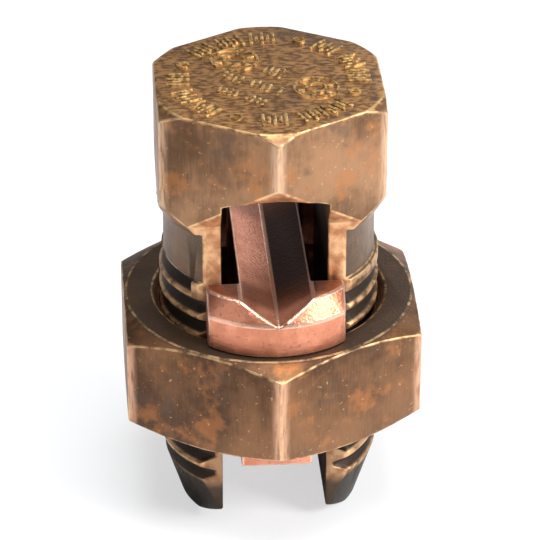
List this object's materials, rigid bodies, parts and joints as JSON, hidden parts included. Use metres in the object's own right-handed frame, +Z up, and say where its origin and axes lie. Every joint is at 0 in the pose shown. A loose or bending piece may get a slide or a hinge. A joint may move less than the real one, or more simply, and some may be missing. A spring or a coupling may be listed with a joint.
{
  "type": "split bolt connector",
  "caption": "Slotted hexagon-head bolt with a captive nut that drives a grooved pressure bar, to clamp electrical conductors side by side.",
  "frame": {"origin": "on the bolt's axis, in the plane that the two leg tips stand on", "axes": "+Z up along the bolt's axis to the head, Y along the conductor slot, X across it"},
  "size_m": [0.019, 0.022, 0.0302],
  "materials": {
    "bolt_bronze": "worn brown bronze with bright edges",
    "nut_bronze": "worn brown bronze with bright edges",
    "bar_copper": "bare pitted copper"
  },
  "bodies": {
    "bolt": {"split_bolt": "bolt_bronze"},
    "bar": {"pressure_bar": "bar_copper"},
    "nut": {"hex_nut": "nut_bronze"}
  },
  "joints": [
    {"name": "bar_travel", "type": "slide", "parent": "bolt", "child": "bar", "axis": [0, 0, 1], "range_m": [-0.0058, 0.0034]},
    {"name": "nut_spin", "type": "hinge", "parent": "bar", "child": "nut", "pos_m": [0, 0, 0.0113], "axis": [0, 0, 1], "range_deg": [-1479, 867]}
  ],
  "couplings": [
    {"joint": "bar_travel", "follows": "nut_spin", "m_per_rad": 0.00022459}
  ]
}
